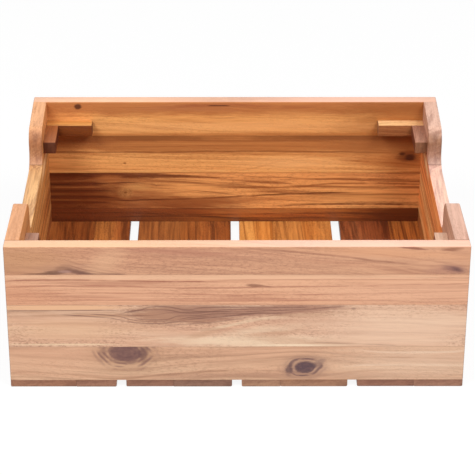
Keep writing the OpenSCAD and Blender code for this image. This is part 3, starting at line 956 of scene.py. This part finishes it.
REAR_MARKS: dict[str, tuple[Mark, ...]] = {
    "rear_stave_1": (
        # The first five patches darken both ends, the left part and the strip along the floor: painted shade
        # in the inside's corners and along the crease with the floor.
        Patch(-168, 15, 60, 14, "#78381a", 0.85, 0.6, 0.6),
        Patch(-100, 14, 45, 8, "#6a3218", 0.6, 0.6, 0.7),
        Patch(-60, 16, 34, 7, "#7c3e1c", 0.6, 0.7, 0.8),
        Patch(0, 8.2, 420, 3.0, "#552610", 0.42, 0.5, 0.6),
        Patch(175, 15, 50, 14, "#5f2a12", 0.85, 0.6, 0.6),
        Streak(((-120, 12), (-60, 13), (20, 11), (100, 13)), 1.0, 1.0, "#4c2410", 0.7, 0.3, 2.0, 20.0),
        Patch(35, 19, 50, 3.0, "#c07c40", 0.55, 0.7, 0.7),
        Streak(((-190, 16), (-120, 17), (-40, 15), (60, 16), (190, 15)), 1.0, 1.0, "#522812", 0.6, 0.4, 2.0,
               20.0),
    ),
    "rear_stave_2": (
        Knot(-111, 40, 6.5, 5.0, heart=0.25, bend=0.8, seed=2.0, heart_colour="#8a5328",
             ring_colour="#6e3a18", halo_colour="#dca05e", strength=0.9),
        Patch(-132, 48, 62, 16, "#9c5a2c", 0.6, 0.5, 0.6),
        Patch(-120, 29, 86, 9.5, "#8a4a22", 0.8, 0.5, 0.7),
        # A dark left end: painted shadow of the left side wall.
        Patch(-186, 41, 70, 30, "#6e3012", 0.92, 0.5, 0.6),
        Patch(-130, 59.6, 85, 2.6, "#5e260c", 0.85, 0.5, 0.7, -0.02),
        Patch(-128, 55.5, 12, 3.6, "#b46c38", 0.7, 0.7, 0.6),
        Patch(-98, 46, 12, 3.6, "#dca05e", 0.6, 0.8, 0.7),
        Patch(-84, 38, 20, 3.6, "#ac6c3c", 0.6, 0.7, 0.7),
        Patch(-90, 28.6, 24, 2.4, "#b87642", 0.6, 0.7, 0.8),
        Streak(((-200, 52), (-165, 53), (-130, 54), (-100, 51)), 1.6, 1.6, "#9c5c30", 0.85, 0.1, 1.0, 20.0),
        Streak(((-200, 46), (-165, 46), (-130, 46.4)), 1.5, 1.5, "#a46434", 0.9, 0.1, 1.0, 15.0),
        Streak(((-200, 38), (-160, 38.4), (-130, 37.4)), 1.5, 1.5, "#925428", 0.85, 0.1, 1.0, 20.0),
        Streak(((-200, 32), (-165, 31.6), (-120, 31)), 1.4, 1.4, "#945628", 0.85, 0.1, 1.0, 20.0),
        Streak(((-200, 26.6), (-165, 26), (-120, 26.4)), 1.2, 1.2, "#8a4c24", 0.8, 0.1, 1.0, 20.0),
        Streak(((-200, 49.2), (-160, 49.4), (-118, 50.2), (-80, 48)), 1.2, 1.2, "#4e200a", 0.85, 0.1, 0.8,
               20.0),
        Streak(((-200, 41.4), (-160, 42), (-124, 41)), 1.3, 1.4, "#4e200a", 0.85, 0.1, 0.8, 15.0),
        Streak(((-200, 35.2), (-160, 35.2), (-122, 35.6)), 1.0, 1.2, "#4e200a", 0.85, 0.1, 0.8, 15.0),
        Streak(((-200, 29.2), (-160, 29), (-125, 28.6)), 0.9, 0.9, "#522208", 0.8, 0.1, 0.8, 15.0),
        Streak(((-122, 33.4), (-100, 32.4), (-75, 32), (-40, 33), (30, 37), (110, 40)), 1.5, 1.3, "#562509",
               0.9, 0.15, 0.8, 14.0),
        Patch(-42, 28, 46, 6.5, "#8a4822", 0.72, 0.8, 0.7),
        Patch(-10, 31, 70, 3.5, "#a05e30", 0.6, 0.8, 0.7, 0.05),
        Streak(((0, 46), (50, 45.5), (110, 50), (190, 49)), 1.8, 1.4, "#8a4a20", 0.7, 0.4, 2.0, 30.0),
        Streak(((40, 53), (110, 55), (190, 53)), 1.2, 1.2, "#8a4a20", 0.7, 0.4, 2.0, 30.0),
        Streak(((50, 25), (120, 27), (190, 26)), 1.8, 1.8, "#5f2c12", 0.85, 0.4, 1.5, 20.0),
        Patch(120, 34, 60, 4, "#c98a4e", 0.5, 0.8, 0.7),
    ),
    "rear_stave_3": (
        Patch(0, 98, 420, 13, "#b06c38", 0.85, 0.35, 0.3),
        Patch(-90, 101, 60, 3.0, "#74401d", 0.6, 0.6, 0.7),
        Patch(110, 101, 90, 3.0, "#74401d", 0.65, 0.6, 0.7),
        Patch(40, 92, 120, 2.4, "#bd7840", 0.5, 0.7, 0.8),
        Patch(170, 92, 60, 12, "#96592e", 0.6, 0.7, 0.5),
        Streak(((-200, 86), (-100, 85), (0, 86), (100, 85), (200, 84)), 1.5, 1.1, "#7e4620", 0.75, 0.35,
               1.5, 10.0),
        Streak(((-170, 98), (-90, 98.4), (0, 97.6), (90, 98.2)), 1.3, 1.5, "#8e5028", 0.6, 0.3, 1.0, 30.0),
        Streak(((-190, 92), (-110, 91), (-20, 92), (80, 91)), 1.1, 1.1, "#94562c", 0.5, 0.4, 1.2, 30.0),
        Streak(((-160, 95), (-60, 94.6), (60, 95)), 1.0, 1.0, "#d08c50", 0.5, 0.4, 1.2, 30.0),
        Patch(-150, 97, 34, 4.0, "#94562e", 0.6, 0.7, 0.7),
        Streak(((10, 66), (24, 69), (60, 78), (110, 82)), 1.4, 1.8, "#b9703a", 0.5, 0.4, 2.0, 20.0),
        Streak(((105, 76), (145, 74), (190, 70)), 1.8, 1.6, "#96501f", 0.75, 0.45, 1.5, 20.0),
        Patch(168, 76, 40, 9, "#ae6630", 0.65, 0.8, 0.6),
        Streak(((-200, 64.2), (0, 64.2), (200, 64.2)), 1.1, 1.4, "#f4bc74", 0.6, 0.0, 0.3, 10.0),
        # A pale patch right of the middle: a painted pool of light.
        Patch(55, 73, 48, 6, "#ffc684", 0.45, 0.8, 0.6),
        Patch(174, 80, 11, 6, "#7a3c18", 0.8, 0.6, 0.8),
        Patch(176, 79, 5, 3, "#471d0c", 0.9, 0.5, 0.8),
        Patch(168, 83, 3, 1.6, "#471d0c", 0.8, 0.5, 0.8),
        Patch(-111, 73, 1.4, 1.0, "#8a5022", 0.8, 0.4, 0.5),
    ),
    "rear_stave_4": (
        # A darker band along the top: painted shade beneath the rim.
        Patch(0, 135.5, 400, 9.5, "#b66c3a", 0.82, 0.6, 0.8),
        Patch(-100, 130, 46, 4.0, "#c07c46", 0.4, 0.8, 0.9),
        Patch(50, 129, 44, 3.6, "#bc7844", 0.5, 0.8, 0.9),
        # A darker left end: painted corner shade.
        Patch(-196, 130, 22, 12, "#b06c3a", 0.6, 0.8, 0.5),
        Patch(-156, 135, 3.4, 2.8, "#5a2a12", 0.95, 0.35, 0.4),
        Patch(-50, 133, 45, 3.4, "#b87448", 0.6, 0.7, 0.8),
        Streak(((-60, 134), (-10, 136), (30, 134), (80, 135)), 3.2, 2.4, "#9c5430", 0.7, 0.5, 2.0, 25.0),
        Streak(((-26, 136), (-18, 136), (-6, 136)), 0.9, 0.9, "#4c2010", 0.95, 0.1, 0.5, 3.0),
        Streak(((-20, 122), (0, 123)), 0.8, 0.8, "#a05a34", 0.7, 0.1, 0.5, 6.0),
        Streak(((-60, 118), (0, 116), (60, 117)), 1.2, 1.2, "#bd7440", 0.5, 0.5, 2.0, 20.0),
        # The next two patches darken the right end: painted corner shade.
        Patch(165, 128, 58, 17, "#9a5a2a", 0.8, 0.8, 0.6),
        Patch(160, 111, 62, 9, "#ac6a32", 0.6, 0.8, 0.6),
        # A pale patch right of the middle: a painted pool of light.
        Patch(60, 120, 60, 7, "#efac68", 0.5, 0.9, 0.6),
        Patch(0, 104.4, 400, 1.8, "#b87038", 0.6, 0.7, 0.5),
        Patch(10, 113, 130, 5.0, "#f8b878", 0.5, 0.9, 0.7),
        Patch(130, 140.5, 120, 0.8, "#e09a70", 0.9, 0.5, 0.1),
        Patch(-130, 140.5, 110, 0.8, "#e8a061", 0.75, 0.6, 0.1),
    ),
}

@dataclass
class GluedBoard:
    """A full-width board of staves glued edge to edge."""

    kit: Kit
    edges: EasedEdges

    def finishes(self) -> dict[str, WoodFinish]:
        """The finish of each stave, lowest first; each board gives its own."""
        raise NotImplementedError

    def build(self) -> None:
        """Gives each stave its finish and eases the edges that are open to the hand."""
        finishes = self.finishes()
        top = list(finishes)[-1]
        for node, finish in finishes.items():
            low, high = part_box(node)
            seams = (low.z,) if node == top else (low.z, high.z)
            obj = dress(node, finish.make(self.kit, node, Lay.UPRIGHT_ACROSS, Face.FRONT, seams))
            self.edges.apply(obj, {2: seams})
            LOG.info("%s: %.0f mm wide, %.0f mm high", node, (high.x - low.x) / MM, (high.z - low.z) / MM)


@dataclass
class FrontBoard(GluedBoard):
    """The front: four pale staves; their other face is the crate's inside."""

    joint: float = 0.16

    def finishes(self) -> dict[str, WoodFinish]:
        """The finish of each stave, lowest first."""
        return {
            "front_stave_1": WoodFinish(
                "#d6a585", "#e6c09d", "#a67c62", 1.3, lines=0.5, bands=0.6, wander=9.0, lean=0.02,
                pith=(40.0, -90.0), ring_gap=3.0, pores=0.3, grain=0.45, joint=self.joint,
                other=INNER_TONE_AND_SHADE_OF_OUTER, marks=FRONT_MARKS["front_stave_1"],
            ),
            "front_stave_2": WoodFinish(
                "#dbab8c", "#ecc6a7", "#af816a", 2.9, lines=0.4, bands=0.55, wander=9.0, lean=0.03,
                pith=(30.0, 80.0), ring_gap=2.8, pores=0.85, grain=0.5, joint=self.joint,
                other=INNER_TONE_AND_SHADE_OF_OUTER, marks=FRONT_MARKS["front_stave_2"],
            ),
            "front_stave_3": WoodFinish(
                "#da9c79", "#eab793", "#b1785e", 5.2, lines=0.7, bands=0.6, wander=4.0, lean=0.012,
                pith=(20.0, -140.0), ring_gap=4.2, pores=0.25, grain=0.45, joint=self.joint,
                other=INNER_TONE_AND_SHADE_OF_OUTER, marks=FRONT_MARKS["front_stave_3"],
            ),
            # The top stave's edge tone lifts its rim top 1.32 times and pales it: a painted highlight.
            "front_stave_4": WoodFinish(
                "#ca9272", "#d9a582", "#9f6c54", 7.7, lines=0.4, bands=0.6, wander=11.0, lean=0.14,
                pith=(40.0, 70.0), ring_gap=3.0, pores=0.4, grain=0.5, joint=self.joint,
                other=INNER_TONE_AND_SHADE_OF_OUTER, edge=(0.84, 1.32), marks=FRONT_MARKS["front_stave_4"],
            ),
        }


@dataclass
class RearBoard(GluedBoard):
    """The back: four orange-brown staves, the third of them in two tones."""

    def finishes(self) -> dict[str, WoodFinish]:
        """The finish of each stave, lowest first."""
        return {
            "rear_stave_1": WoodFinish(
                "#9f5326", "#b86d2f", "#562811", 11.1, lines=0.7, bands=0.7, grain=0.5, other=OUTER_OF_DARK_TONE_AND_SHADE,
                marks=REAR_MARKS["rear_stave_1"],
            ),
            "rear_stave_2": WoodFinish(
                "#e29657", "#f8b36b", "#7c401d", 12.6, lines=0.75, bands=0.7, wander=10.0, ring_gap=5.5,
                grain=0.5, other=OUTER_OF_INNER_TONE_AND_SHADE, marks=REAR_MARKS["rear_stave_2"],
            ),
            "rear_stave_3": WoodFinish(
                "#f0a963", "#f8b86f", "#aa6632", 14.8, lines=0.5, bands=0.5, wander=5.0, grain=0.55,
                pith=(30.0, -120.0), ring_gap=4.0, other=OUTER_OF_INNER_TONE_AND_SHADE, marks=REAR_MARKS["rear_stave_3"],
            ),
            # The top stave's edge tone lifts its rim top 1.22 times and pales it: a painted highlight.
            "rear_stave_4": WoodFinish(
                "#f0a760", "#fab970", "#ae6a34", 17.3, lines=0.45, bands=0.65, wander=10.0, grain=0.5,
                pith=(30.0, 60.0), ring_gap=4.4, other=OUTER_OF_INNER_TONE_AND_SHADE, edge=(0.72, 1.22),
                marks=REAR_MARKS["rear_stave_4"],
            ),
        }


@dataclass(frozen=True)
class SideTones:
    """What differs between the two sides: tones, seed and the face that looks inwards."""

    # Body, pale and dark of the middle and upper staves' inner faces; the right wall's are brighter than the
    # left's, partly the wood's own tone, partly painted light on the lit right wall.
    middle: tuple[str, str, str]
    upper: tuple[str, str, str]
    rims: tuple[str, str, str]
    cut: str
    bend: tuple[str, str]
    # Colour and strength of a darker patch below the rear cleat: a painted shadow of the cleat.
    dusk: tuple[str, float]
    # Saturation and value of the valley's top face: paler on the right, partly the long grain's own tone,
    # partly a painted highlight.
    valley_tone_and_highlight: tuple[float, float]
    seed: float
    face: Face


SIDE_TONES = {
    Side.LEFT: SideTones(
        ("#d88c4a", "#f2b86e", "#86461c"), ("#dc9650", "#f6bc76", "#8c5024"),
        ("#dc965c", "#eaac70", "#9c5e30"), "#864210", ("#a8622a", "#d09a72"), ("#b06834", 0.45),
        (0.92, 0.98), 21.0, Face.RIGHT,
    ),
    Side.RIGHT: SideTones(
        ("#ffa65c", "#ffd692", "#c0682e"), ("#fa9855", "#ffbf78", "#b4582a"),
        ("#cf9a80", "#dcae94", "#94604a"), "#824d20", ("#94602c", "#c09a90"), ("#b05c30", 0.8),
        (0.6, 1.03), 33.0, Face.LEFT,
    ),
}


@dataclass
class SideBoard:
    """One side: three long staves with a shoulder at each end of the dip."""

    kit: Kit
    edges: EasedEdges
    side: Side

    def finishes(self) -> dict[str, WoodFinish]:
        """The finish of each stave of this side."""
        name = self.side.value
        tones = SIDE_TONES[self.side]
        seed = tones.seed
        # The shoulders' tops come out paler and lighter, a painted highlight; their outer faces are lighter
        # than the inner ones, partly painted shade of the inside as on the other boards.
        rim = {"other": (0.8, 1.1), "edge": (0.9, 1.1), "end_colour": tones.cut}
        return {
            f"{name}_stave_1": WoodFinish(
                "#a86233", "#bf7c42", "#6b3718", seed, lines=0.7, grain=0.5, other=OUTER_OF_DARK_TONE_AND_SHADE
            ),
            f"{name}_stave_2": WoodFinish(
                *tones.middle, seed + 1.7, lines=0.85, bands=0.8, wander=8.0, grain=0.8, ring_gap=5.0,
                other=OUTER_OF_INNER_TONE_AND_SHADE,
            ),
            f"{name}_stave_3": WoodFinish(
                *tones.upper, seed + 3.1, lines=0.8, bands=0.8, grain=0.8, other=OUTER_OF_INNER_TONE_AND_SHADE,
                edge=tones.valley_tone_and_highlight, end_colour=tones.cut,
                marks=(
                    # A darker patch below the rear cleat, a painted shadow of the cleat, and a pale patch
                    # beside it, a painted pool of light below the cleat.
                    Patch(118, 95, 42, 8.0, *tones.dusk, 0.7, 0.6),
                    Patch(105, 96, 34, 5.0, "#ffd9a4", 0.8, 0.6, 0.6, 0.1),
                ),
            ),
            f"{name}_front_shoulder": WoodFinish(*tones.rims, seed + 5.3, lines=0.4, **rim),
            f"{name}_rear_shoulder": WoodFinish(
                *tones.rims, seed + 7.9, lines=0.5, grain=0.5, **rim,
                marks=(
                    Patch(91, 122, 7, 7, tones.bend[0], 0.45, 0.6, 0.8),
                    Patch(79, 106, 7, 4.5, tones.bend[1], 0.45, 0.6, 0.8),
                ),
            ),
        }

    def build(self) -> None:
        """Gives each stave its finish and eases the outline of the dip."""
        face = SIDE_TONES[self.side].face
        ends = (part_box("front_stave_1")[1].y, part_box("rear_stave_1")[0].y)
        for node, finish in self.finishes().items():
            low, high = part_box(node)
            shoulder = node.endswith("shoulder")
            seams = (low.z,) if shoulder else (low.z, high.z)
            obj = dress(node, finish.make(self.kit, node, Lay.UPRIGHT_DEEP, face, seams))
            self.edges.apply(obj, {1: ends, 2: seams}, profile=0 if shoulder or node.endswith("3") else None)
            LOG.info("%s: %.0f mm deep, %.0f mm high", node, (high.y - low.y) / MM, (high.z - low.z) / MM)


@dataclass
class SlatFloor:
    """Four floor slats, each glued up from two staves."""

    kit: Kit
    edges: EasedEdges
    first_seed: float = 41.0
    seed_step: float = 3.7

    def finishes(self) -> dict[str, WoodFinish]:
        """The finish of each stave, from the left."""
        tones = {
            "slat_1_left_stave": ("#a05626", "#c77a3d", "#54270f", "#a57357"),
            "slat_1_right_stave": ("#a35727", "#ce833f", "#57270d", "#9b6c55"),
            "slat_2_left_stave": ("#945024", "#b37038", "#50240e", "#986a54"),
            "slat_2_right_stave": ("#9c5424", "#c27638", "#54260c", "#8e6855"),
            "slat_3_left_stave": ("#d98a3f", "#f0ae5e", "#99561d", "#a2775d"),
            "slat_3_right_stave": ("#c17330", "#de9850", "#7a4014", "#a27559"),
            "slat_4_left_stave": ("#823d1a", "#a9643a", "#411908", "#9c6c56"),
            "slat_4_right_stave": ("#b6602a", "#d8883f", "#622c10", "#9c6f59"),
        }
        return {
            # The undersides take a paler, less saturated copy of the tops' tone; the tops' richer tone is
            # partly the wood's own, partly painted shade of the box's floor.
            node: WoodFinish(
                *tone[:3], self.first_seed + self.seed_step * index, lines=0.75, bands=0.7, grain=0.6,
                ring_gap=4.2, wander=7.0, pith=(-50.0, 40.0), joint=0.25, other=(0.75, 1.15),
                edge=(0.7, 1.1), end_dark=0.85, end_colour=tone[3],
            )
            for index, (node, tone) in enumerate(tones.items())
        }

    def build(self) -> None:
        """Gives each stave its finish and eases the slats' outer edges."""
        for node, finish in self.finishes().items():
            low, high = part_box(node)
            seams = (high.x,) if "left" in node else (low.x,)
            obj = dress(node, finish.make(self.kit, node, Lay.FLAT_DEEP, Face.UP, seams))
            self.edges.apply(obj, {0: seams})
            LOG.info("%s: %.0f mm wide", node, (high.x - low.x) / MM)


@dataclass
class CornerCleats:
    """The long and short cleats in the four upper corners."""

    kit: Kit
    edges: EasedEdges
    first_seed: float = 61.0
    seed_step: float = 5.3

    def build(self) -> None:
        """Gives each cleat its finish, with painted shade on its upright faces and underside, and eases all
        its edges.
        """
        # Each corner's first tone is multiplied into its cleats' upright faces: painted shade.
        tones = {
            "rear_left": ("#967156", ("#d48d47", "#e1a45c", "#965727"), ("#a35c2f", "#b8713f", "#733c1d")),
            "rear_right": ("#aa8773", ("#f4ba7b", "#ffd59d", "#b27646"), ("#ab735a", "#c28e74", "#744634")),
            "front_left": ("#a07868", ("#cf9a70", "#deb088", "#96624a"), ("#b08068", "#c4967c", "#7c5442")),
            "front_right": ("#a07868", ("#d6a684", "#e6bea0", "#a3735a"), ("#e0b496", "#f0ccb0", "#b08468")),
        }
        for index, (corner, (side, long_tone, short_tone)) in enumerate(tones.items()):
            pairs = (
                (f"{corner}_long_cleat", long_tone, Lay.UPRIGHT_ACROSS),
                (f"{corner}_short_cleat", short_tone, Lay.UPRIGHT_DEEP),
            )
            for node, tone, lay in pairs:
                # The undersides come out 0.8 times as light: painted shade under the cleats.
                finish = WoodFinish(
                    *tone, self.first_seed + self.seed_step * index, lines=0.5, ring_gap=2.4, joint=0.0,
                    edge=(1.0, 1.0), side_shade_tint=side, other=(1.1, 0.8), end_dark=0.6,
                    end_colour="#aa7a56" if "right" in corner else "#6a3c22",
                )
                obj = dress(node, finish.make(self.kit, node, lay, Face.UP))
                self.edges.apply(obj, {})
                LOG.info("%s dressed", node)


@dataclass
class Fixings:
    """The dowels in the corner joints and the screws that hold the floor."""

    kit: Kit

    def build(self) -> None:
        """Gives the dowels pale turned wood and the screws plated steel."""
        steel = SteelFinish().make(self.kit)
        wood = WoodFinish("#dcb98c", "#ead0a8", "#b08c62", 81.0, lines=0.3, joint=0.0)
        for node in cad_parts:
            if node.endswith("_screws"):
                dress(node, steel)
                LOG.info("%s dressed", node)
            elif node.endswith("_dowels"):
                dress(node, wood.make(self.kit, node, Lay.UPRIGHT_DEEP, Face.UP))
                LOG.info("%s dressed", node)


@dataclass
class Studio:
    """A white floor under a plain white surround, two soft lamps and the light of the room."""

    floor_half: float = 8.0
    floor_drop: float = 0.0003
    open_within: float = 0.003
    floor_tone: float = 0.5
    seen_tone: float = 0.97
    show_through: float = 0.1
    room: float = 0.5
    lamp_power: float = 28.4
    lamp_size: float = 1.0
    lamp_places: tuple[Triple, ...] = ((-1.1, -1.15, 1.85), (1.0, -1.15, 1.85))
    lamp_aim: Triple = (0.0, 0.0, 0.07)

    @staticmethod
    def _seen(g: Graph) -> Socket:
        """1 for rays that show the surround itself: from the camera, by reflection or through glass."""
        path = g.add("ShaderNodeLightPath").outputs
        both = g.most(path["Is Camera Ray"], path["Is Glossy Ray"])
        return g.most(both, path["Is Transmission Ray"])

    def _floor(self) -> None:
        """Lays the floor, which is clear from below so that the underside can be seen and lit."""
        mesh = bpy.data.meshes.new("floor")
        r, z = self.floor_half, -self.floor_drop
        mesh.from_pydata([(-r, -r, z), (r, -r, z), (r, r, z), (-r, r, z)], [], [(0, 1, 2, 3)])
        new_object("floor", mesh)
        material, g = new_material("Studio floor")
        matt = g.add("ShaderNodeBsdfDiffuse", {"Color": (self.floor_tone,) * 3 + (1.0,)})
        pale = g.add("ShaderNodeBsdfDiffuse", {"Color": (self.seen_tone,) * 3 + (1.0,)})
        glow = g.add("ShaderNodeEmission", {"Color": WHITE, "Strength": 1.0})
        shown = g.add("ShaderNodeMixShader", {0: self.show_through, 1: glow.outputs[0], 2: pale.outputs[0]})
        both = g.add("ShaderNodeMixShader", {0: self._seen(g), 1: matt.outputs[0], 2: shown.outputs[0]})
        path = g.add("ShaderNodeLightPath").outputs
        close = g.math("LESS_THAN", path["Ray Length"], self.open_within)
        close = g.times(close, g.minus(1.0, path["Is Camera Ray"]))
        under = g.most(g.add("ShaderNodeNewGeometry").outputs["Backfacing"], close)
        clear = g.add("ShaderNodeBsdfTransparent")
        whole = g.add("ShaderNodeMixShader", {0: under, 1: both.outputs[0], 2: clear.outputs[0]})
        g.add("ShaderNodeOutputMaterial", {"Surface": whole.outputs[0]})
        mesh.materials.append(material)

    def _surround(self) -> None:
        """Sets the light of the room and the white behind the crate."""
        world = bpy.data.worlds.new("Studio")
        bpy.context.scene.world = world
        world.use_nodes = True
        g = Graph(world.node_tree)
        g.tree.nodes.clear()
        strength = g.ease(self._seen(g), 0.0, 1.0, self.room, 1.0)
        sky = g.add("ShaderNodeBackground", {"Color": WHITE, "Strength": strength})
        g.add("ShaderNodeOutputWorld", {"Surface": sky.outputs[0]})

    def _lamps(self) -> None:
        """Hangs a soft lamp above the front at each side of the crate."""
        for place in self.lamp_places:
            data = bpy.data.lights.new("soft lamp", "AREA")
            data.shape = "DISK"
            data.size = self.lamp_size
            data.energy = self.lamp_power
            lamp = new_object("soft_lamp", data)
            lamp.location = place
            aim = Vector(self.lamp_aim) - Vector(place)
            lamp.rotation_euler = aim.to_track_quat("-Z", "Y").to_euler()

    def build(self) -> None:
        """Makes the floor, the surround and the lamps."""
        self._floor()
        self._surround()
        self._lamps()
        bpy.context.scene.view_settings.view_transform = "Standard"
        LOG.info("studio: floor, surround and %d soft lamps", len(self.lamp_places))


@dataclass
class CrateCamera:
    """A long lens that looks down on the crate from the front; its angles are in degrees."""

    lens: float = 149.3
    sensor: float = 36.0
    nearest: float = 0.05
    farthest: float = 50.0
    place: Triple = (-0.0123, -1.6453, 0.9262)
    down: float = 27.62
    turn: float = -0.48
    roll: float = 0.17

    def build(self) -> None:
        """Makes the camera and gives it to the scene."""
        data = bpy.data.cameras.new("camera")
        data.lens = self.lens
        data.sensor_width = self.sensor
        data.clip_start = self.nearest
        data.clip_end = self.farthest
        camera = new_object("camera", data)
        camera.location = self.place
        spins = (("Z", self.turn), ("X", 90.0 - self.down), ("Z", self.roll))
        turn, tilt, roll = (Matrix.Rotation(math.radians(angle), 3, axis) for axis, angle in spins)
        camera.rotation_euler = (turn @ tilt @ roll).to_euler()
        bpy.context.scene.camera = camera
        LOG.info("camera: %.0f mm lens, %.1f degrees down", self.lens, self.down)


def main() -> None:
    """Builds the studio and camera, then dresses the crate from front to fixings."""
    logging.basicConfig(level=logging.INFO, format="%(name)s: %(message)s")
    CrateCamera().build()
    Studio().build()
    kit = Kit()
    edges = EasedEdges()
    FrontBoard(kit, edges).build()
    RearBoard(kit, edges).build()
    for side in Side:
        SideBoard(kit, edges, side).build()
    SlatFloor(kit, edges).build()
    CornerCleats(kit, EasedEdges(width=0.6 * MM)).build()
    Fixings(kit).build()


if __name__ == "__main__":
    main()
